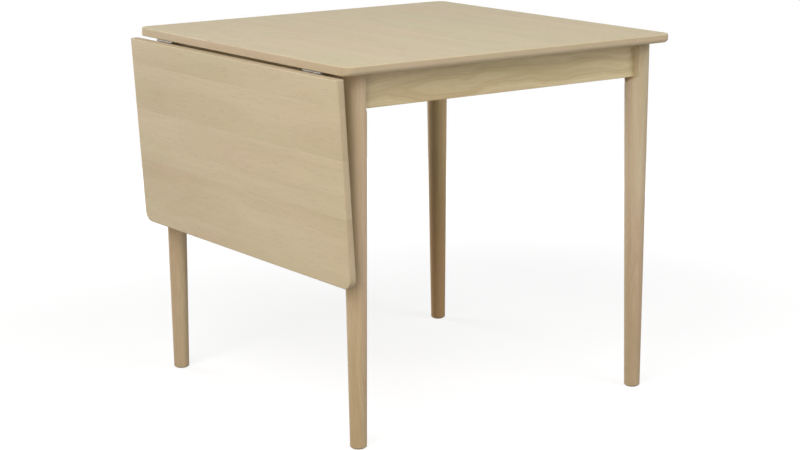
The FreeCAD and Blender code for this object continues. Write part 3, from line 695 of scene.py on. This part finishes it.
def glide(length):
    """A disc with a rounded sole, from the floor up, and a ribbed stem."""
    # The round rim of the sole, the eased edge above it, then the stem with its ribs
    outline = []
    for turn in QUARTER_ROUND:
        outline.append((GLIDE_SOLE + (GLIDE_RADIUS - GLIDE_SOLE) * math.sin(turn),
                        GLIDE_SOLE_RISE * (1 - math.cos(turn))))
    for turn in QUARTER_ROUND:
        outline.append((GLIDE_RADIUS - GLIDE_TOP_EASE * (1 - math.cos(turn)),
                        GLIDE_THICKNESS - GLIDE_TOP_EASE * (1 - math.sin(turn))))
    outline.append((STEM_RADIUS, GLIDE_THICKNESS))
    for rib in STEM_RIBS[:-1]:
        outline += [(STEM_RADIUS, rib), (STEM_RADIUS - STEM_GROOVE, rib + STEM_GROOVE)]
    outline += [(STEM_RADIUS, STEM_RIBS[-1]), (STEM_TIP, STEM_TIP_SHARE * length)]
    rings = [[Vector((0.0, 0.0, 0.0))]]
    rings += [ring(GLIDE_ROUND, radius, height) for radius, height in outline]
    return skin(rings + [[Vector((0.0, 0.0, length))]])


nylon, tree = new_finish("moulded_nylon")
spot = add_node(tree, "TexCoord").outputs["Object"]
speck = add_node(tree, "TexNoise", {"Vector": spot, "Scale": NYLON_SPECKS, "Detail": 3.0}).outputs[0]
tint = mix_tints(tree, speck, (*NYLON_DARK, 1), (*NYLON_LIGHT, 1))
tint = shaded(tree, tint, rubbed(tree, NYLON_RUB, NYLON_RUB_LIFT))
rough = sum_up(tree, "MULTIPLY_ADD", speck, NYLON_SPECK_ROUGH, NYLON_ROUGH)
lay_finish(tree, tint, rough, speck, NYLON_RELIEF_STRENGTH, NYLON_RELIEF)
for corner in CORNERS:
    low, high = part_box(f"glide_{corner}")
    middle = (low + high) / 2
    place = Matrix.Translation((middle.x, middle.y, low.z))
    make_piece(f"nylon_glide_{corner}", [(glide(high.z - low.z), place)],
               nylon, "frame", "glide_plastic", f"glide_{corner}")

# TABLE TOP
# One board glued up from oak strips that run along the hinge line. Its corners are sawn round and
# its free edges are moulded: a small round above and a wide one below.
BOARD_PALE = (0.635, 0.55, 0.39)
TOP_DEEP = (0.50, 0.40, 0.255)
TOP_STRIPS = [
    (0.096, 0.03, -0.03, 0.4), (0.104, -0.05, 0.02, 0.7),
    (0.099, 0.05, 0.0, 0.3), (0.107, -0.02, -0.05, 0.5),
    (0.094, 0.04, -0.02, 0.6), (0.103, -0.05, 0.03, 0.2),
    (0.098, 0.02, -0.02, 0.8), (0.099, -0.03, 0.04, 0.5),
]
top_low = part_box("table_top")[0]
top_oak = oak("oak_top", "xyz", (top_low.x, 0.0, top_low.z), BOARD_PALE, TOP_DEEP,
              strips=TOP_STRIPS, figure=0.3)
dress("table_top", top_oak)

# ANGLE BRACKETS
# Bent from zinc-plated sheet. One leg is screwed up into the top and the other to the apron's
# inner face, two brackets to each apron.
SHEET = 2.0 * MM
SHEET_CORNER = 2.4 * MM
SHEET_ZINC = (0.60, 0.60, 0.59)
BRACKET_LEG = 28 * MM
BRACKET_WIDTH = 20 * MM
BRACKET_BEND = 2.5 * MM
BRACKET_HOLE = 15 * MM
BRACKET_OFFSET = 110 * MM
SCREW_HOLE = 1.85 * MM
DRILL_REACH_SHARE = 0.22
BEND_STEPS = 5
ROW_SHARES = (-0.5, -0.25, 0.0, 0.25, 0.5)
SIDE_SHARES = (0.25, 0.5, 0.75)
SAME_SPOT = 1e-9
UP = Vector((0.0, 0.0, 1.0))
INWARD = {"front": (0, 1, 0), "back": (0, -1, 0), "leaf_side": (1, 0, 0), "far_side": (-1, 0, 0)}


def ahead(heading):
    """The way that a bent strip runs at a heading."""
    return Vector((math.cos(heading), math.sin(heading)))


def aside(heading):
    """The way out of a bent strip at a heading."""
    return Vector((-math.sin(heading), math.cos(heading)))


def bent_strip(legs, bend):
    """The flats and bends of a strip in turn, and its length along its middle layer.

    Each is its start along the strip, its length, the spot and heading where it starts, its turn,
    and the place of its hole or None.
    """
    stretches = []
    spot, heading, run = Vector((0.0, 0.0)), 0.0, 0.0
    for length, hole_at, turn in legs:
        stretches.append((run, length, spot.copy(), heading, 0.0, hole_at))
        spot += length * ahead(heading)
        run += length
        if turn:
            arc = bend * abs(turn)
            stretches.append((run, arc, spot.copy(), heading, turn, None))
            side = math.copysign(bend, turn)
            centre = spot + side * aside(heading)
            heading += turn
            spot = centre - side * aside(heading)
            run += arc
    return stretches, run


def on_strip(stretches, bend, distance):
    """Where a strip's middle layer is after this distance, and which way is out of it."""
    begun = [stretch for stretch in stretches if stretch[0] <= distance + SAME_SPOT]
    start, length, spot, heading, turn = begun[-1][:5]
    part = distance - start
    if turn:
        side = math.copysign(bend, turn)
        centre = spot + side * aside(heading)
        heading += turn * part / length
        return centre - side * aside(heading), aside(heading)
    return spot + part * ahead(heading), aside(heading)


def strip_rows(stretches, run, width):
    """Rows across a strip with rounded corners: distance, share of the width, hole before it."""
    ends = []
    for turn in QUARTER_ROUND:
        narrowing = SHEET_CORNER * (1 - math.sin(turn))
        ends.append((SHEET_CORNER * (1 - math.cos(turn)), 1 - narrowing / (width / 2)))
    rows = [(distance, share, None) for distance, share in ends]
    for start, length, _, _, turn, hole_at in stretches:
        if turn:
            bends = [start + length * step / BEND_STEPS for step in range(BEND_STEPS + 1)]
            rows += [(distance, 1.0, None) for distance in bends]
        elif hole_at is not None:
            hole = start + hole_at
            reach = DRILL_REACH_SHARE * width
            rows += [(hole - reach, 1.0, None), (hole + reach, 1.0, hole)]
    return rows + [(run - distance, share, None) for distance, share in reversed(ends)]


def drilled_sheet(rows, width, hole):
    """Points (distance, across) and faces of a flat strip with its holes."""
    grid, faces = [], []
    last = None
    for distance, share, drilled in rows:
        now = list(range(len(grid), len(grid) + len(ROW_SHARES)))
        grid += [(distance, share * width * part) for part in ROW_SHARES]
        if drilled is not None:
            start = grid[last[0]][0]
            sides = []
            for edge in (width / 2, -width / 2):
                sides.append(list(range(len(grid), len(grid) + len(SIDE_SHARES))))
                grid += [(start + (distance - start) * part, edge) for part in SIDE_SHARES]
            rim = last + sides[0] + now[::-1] + sides[1][::-1]
            bore = list(range(len(grid), len(grid) + len(rim)))
            for corner in rim:
                angle = math.atan2(grid[corner][1], grid[corner][0] - drilled)
                grid.append((drilled + hole * math.cos(angle), hole * math.sin(angle)))
            for corner in range(len(rim)):
                after = (corner + 1) % len(rim)
                faces.append([rim[corner], rim[after], bore[after], bore[corner]])
        elif last:
            for place in range(len(now) - 1):
                faces.append([last[place], last[place + 1], now[place + 1], now[place]])
        last = now
    return grid, faces


def pressed(legs, bend, width):
    """A bent strip of sheet. It starts along X at the origin, in its middle layer.

    legs lists each flat leg's length, the place of its hole or None, and the turn after it.
    """
    stretches, run = bent_strip(legs, bend)
    grid, faces = drilled_sheet(strip_rows(stretches, run, width), width, SCREW_HOLE)
    points = []
    for layer in (SHEET / 2, -SHEET / 2):
        for distance, across in grid:
            here, out = on_strip(stretches, bend, distance)
            here = here + layer * out
            points.append(Vector((here.x, across, here.y)))
    uses = {}
    for face in faces:
        for first, second in zip(face, face[1:] + face[:1]):
            edge = (min(first, second), max(first, second))
            uses[edge] = uses.get(edge, 0) + 1
    under = len(grid)
    walls = [[first, second, second + under, first + under]
             for (first, second), count in uses.items() if count == 1]
    underside = [[corner + under for corner in face[::-1]] for face in faces]
    return points, faces + underside + walls


sheet_zinc = plated("zinc_sheet", SHEET_ZINC, rough=0.32, cloud_size=14 * MM)
flat_leg = BRACKET_LEG - BRACKET_BEND - SHEET / 2
bracket = pressed([(flat_leg, BRACKET_LEG - BRACKET_HOLE, -QUARTER),
                   (flat_leg, BRACKET_HOLE - BRACKET_BEND - SHEET / 2, 0.0)],
                  BRACKET_BEND, BRACKET_WIDTH)
bracket_places = []
for apron, inward in INWARD.items():
    low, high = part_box(f"apron_{apron}")
    inward = Vector(inward)
    middle = (low + high) / 2
    face = middle + inward * (abs(inward.dot(high - low)) / 2 + BRACKET_LEG)
    away = UP.cross(-inward)
    turn = Matrix((-inward, away, UP)).transposed().to_4x4()
    for offset in (-BRACKET_OFFSET, BRACKET_OFFSET):
        spot = Vector((face.x, face.y, top_low.z - SHEET / 2)) + away * offset
        bracket_places.append((bracket, Matrix.Translation(spot) @ turn))
make_piece("angle_brackets", bracket_places, sheet_zinc, "frame", "pressed_steel", "top_brackets")

# SUPPORT BARS, GUIDES AND END BLOCKS
# Flat steel bars slide in saddles of bent sheet under the top and carry the leaf when they are
# pulled out. A pin near the inner end stops a bar at its guide, and a beech block stops it at home.
GUIDE_BEND = 1.8 * MM
GUIDE_WIDTH = 20 * MM
GUIDE_HALF_INSIDE = 20.5 * MM
GUIDE_FLANGE = 14 * MM
BAR_STEEL = (0.52, 0.52, 0.52)
END_BLOCK_SLIDE = 31.0
bar_steel = plated("flat_bar_steel", BAR_STEEL, rough=0.34, cloud_size=40 * MM)
for side in ("front", "back"):
    dress(f"support_bar_{side}", bar_steel)
    dress(f"bar_stop_pin_{side}", zinc)
    for which in ("first", "second"):
        low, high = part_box(f"bar_guide_{side}_{which}")
        flange = GUIDE_FLANGE + SHEET / 2 - GUIDE_BEND
        rise = high.z - low.z - SHEET - 2 * GUIDE_BEND
        floor_length = 2 * GUIDE_HALF_INSIDE + SHEET - 2 * GUIDE_BEND
        saddle = pressed([(flange, GUIDE_FLANGE / 2, -QUARTER), (rise, None, QUARTER),
                          (floor_length, None, QUARTER), (rise, None, -QUARTER),
                          (flange, flange - GUIDE_FLANGE / 2, 0.0)],
                         GUIDE_BEND, GUIDE_WIDTH)
        middle = (low + high) / 2
        turn = Matrix.Rotation(QUARTER, 4, "Z")
        spot = Matrix.Translation((middle.x, low.y, high.z - SHEET / 2))
        make_piece(f"saddle_{side}_{which}", [(saddle, spot @ turn)],
                   sheet_zinc, "frame", "pressed_steel", f"bar_guide_{side}_{which}")
    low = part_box(f"bar_end_block_{side}")[0]
    heart = (low.x, END_BLOCK_SLIDE, low.z)
    beech = oak(f"beech_end_block_{side}", "xyz", heart, BEECH_PALE, BEECH_DEEP, pore=BEECH_PORE)
    dress(f"bar_end_block_{side}", beech)

# DROP LEAF
# A second board of the same oak, with its strips along the hinge line like the top's. It hangs
# from its two hinges with its middle straight under their pins.
HANG_TURN = math.radians(93.27)
LEAF_DEEP = (0.48, 0.384, 0.239)
LEAF_STRIPS = [
    (0.0295, 0.05, 0.03, 0.5), (0.108, 0.0, 0.24, 0.3),
    (0.112, -0.04, -0.03, 0.6), (0.098, 0.20, -0.03, 0.4),
    (0.052, 0.17, 0.03, 0.7),
]
back_flat = Matrix.Rotation(HANG_TURN, 4, "Y")
laid_flat = [back_flat @ vertex.co for vertex in nodes["drop_leaf"].data.vertices]
leaf_low = tuple(min(point[axis] for point in laid_flat) for axis in range(3))
leaf_oak = oak("oak_leaf", "xyz", leaf_low, BOARD_PALE, LEAF_DEEP,
               strips=LEAF_STRIPS, flat=(0.0, HANG_TURN, 0.0), figure=0.4)
dress("drop_leaf", leaf_oak)

# HINGES
# Two nickel-plated butt hinges: a plate under the top, a plate on the leaf and a pin through the
# rolled knuckles. Their sunk cross-head screws lie flush with the plates.
HINGE_SCREW = {"head": 3.1 * MM, "shank": 1.6 * MM, "sunk": True}
NICKEL = (0.255, 0.235, 0.205)
nickel = plated("nickel_plate", NICKEL, rough=0.46, cloud_size=5 * MM)
for side in ("front", "back"):
    for piece in ("top_plate", "leaf_plate", "pin"):
        dress(f"hinge_{side}_{piece}", nickel)
for node, body in {"hinge_screws_top": "frame", "hinge_screws_leaf": "leaf"}.items():
    screws = [(screw(length, **HINGE_SCREW), place) for place, length in solids_of(node)]
    make_piece(f"sunk_{node}", screws, zinc, body, "zinc_fasteners", node)

# FLOOR AND LIGHT
# A white studio floor under soft boxes all round; the low one at the left is a little warm. Floor
# and world are white to the camera and in reflections, and the floor keeps the table's shadow.
FLOOR_RADIUS = 2.6
FLOOR_SIDES = 96
FLOOR_FADE = (1.0, 2.3)
FLOOR_GREY = 0.38
FLOOR_SHOWN_GREY = 0.26
FLOOR_LIFT = (0.80, 1.0)
FLOOR_ROUGH = 0.9
WHITE = (1, 1, 1, 1)
floor_mesh = bpy.data.meshes.new("studio_floor")
shape = bmesh.new()
bmesh.ops.create_circle(shape, cap_ends=True, segments=FLOOR_SIDES, radius=FLOOR_RADIUS)
shape.to_mesh(floor_mesh)
shape.free()
floor = bpy.data.objects.new("studio_floor", floor_mesh)
bpy.context.scene.collection.objects.link(floor)


def seen_directly(tree):
    """One for rays from the camera, by way of mirrors and glass too, and zero for other rays."""
    ray = add_node(tree, "LightPath").outputs
    through = sum_up(tree, "MAXIMUM", ray["Is Glossy Ray"], ray["Is Transmission Ray"])
    return sum_up(tree, "MAXIMUM", ray["Is Camera Ray"], through)


floor_paint, tree = new_finish("white_floor")
floor_shader = tree.nodes["Principled BSDF"]
shown = seen_directly(tree)
grey = add_node(tree, "MapRange", {
    "Value": shown, "To Min": FLOOR_GREY, "To Max": FLOOR_SHOWN_GREY}).outputs[0]
spot = add_node(tree, "TexCoord").outputs["Object"]
from_middle = add_node(tree, "VectorMath", {0: spot}, operation="LENGTH").outputs["Value"]
lift = add_node(tree, "MapRange", {
    "Value": from_middle, "From Min": FLOOR_FADE[0], "From Max": FLOOR_FADE[1],
    "To Min": FLOOR_LIFT[0], "To Max": FLOOR_LIFT[1]}, interpolation_type="SMOOTHSTEP").outputs[0]
tree.links.new(grey, floor_shader.inputs["Base Color"])
floor_shader.inputs["Roughness"].default_value = FLOOR_ROUGH
floor_shader.inputs["Specular IOR Level"].default_value = 0.0
floor_shader.inputs["Emission Color"].default_value = WHITE
tree.links.new(sum_up(tree, "MULTIPLY", shown, lift), floor_shader.inputs["Emission Strength"])
floor_mesh.materials.append(floor_paint)

world = bpy.data.worlds.new("white_studio")
world.use_nodes = True
bpy.context.scene.world = world
tree = world.node_tree
tree.links.new(seen_directly(tree), tree.nodes["Background"].inputs["Strength"])
tree.nodes["Background"].inputs["Color"].default_value = WHITE

LAMP_AIM = Vector((0.0, 0.0, 0.5))
LAMP_DISTANCE = 5.0
LAMP_SIZE = 2.8
WHITE_LIGHT = (1.0, 1.0, 1.0)
WARM_LIGHT = (1.0, 0.89, 0.80)

# Each soft box: degrees round to the left from the front, degrees up, watts and tint
SOFT_BOXES = {
    "left_high_box": (60, 45, 130, WHITE_LIGHT),
    "left_low_box": (60, 12, 102, WARM_LIGHT),
    "front_box": (-15, 45, 109, WHITE_LIGHT),
    "right_box": (-45, 12, 69, WHITE_LIGHT),
    "back_box": (160, 12, 150, WHITE_LIGHT),
    "far_box": (-150, 12, 10, WHITE_LIGHT),
}
for name, (round_left, rise, power, tint) in SOFT_BOXES.items():
    lamp = bpy.data.lights.new(name, "AREA")
    lamp.size = LAMP_SIZE
    lamp.energy = power
    lamp.color = tint
    way = Matrix.Rotation(math.radians(-round_left), 3, "Z")
    way = way @ Matrix.Rotation(math.radians(-rise), 3, "X")
    soft_box = bpy.data.objects.new(name, lamp)
    soft_box.location = LAMP_AIM + way @ Vector((0.0, -LAMP_DISTANCE, 0.0))
    soft_box.rotation_euler = (LAMP_AIM - soft_box.location).to_track_quat("-Z", "Y").to_euler()
    bpy.context.scene.collection.objects.link(soft_box)

# CAMERA
# A long lens, set where the photograph was taken from: off the near corner, half a metre above
# the table top. Its angles are in degrees.
LENS = 93.327
SENSOR = 36.0
CAMERA_SPOT = (-2.4589, -3.5339, 1.2775)
YAW = 34.904
DIP = 12.351
ROLL = -0.527
view = bpy.data.cameras.new("photo_view")
view.sensor_fit = "HORIZONTAL"
view.sensor_width = SENSOR
view.lens = LENS
camera = bpy.data.objects.new("photo_view", view)
camera.matrix_world = (
    Matrix.Translation(CAMERA_SPOT)
    @ Matrix.Rotation(math.radians(-YAW), 4, "Z")
    @ Matrix.Rotation(math.radians(90 - DIP), 4, "X")
    @ Matrix.Rotation(math.radians(ROLL), 4, "Z")
)
bpy.context.scene.collection.objects.link(camera)
bpy.context.scene.camera = camera
bpy.context.scene.view_settings.view_transform = "Standard"
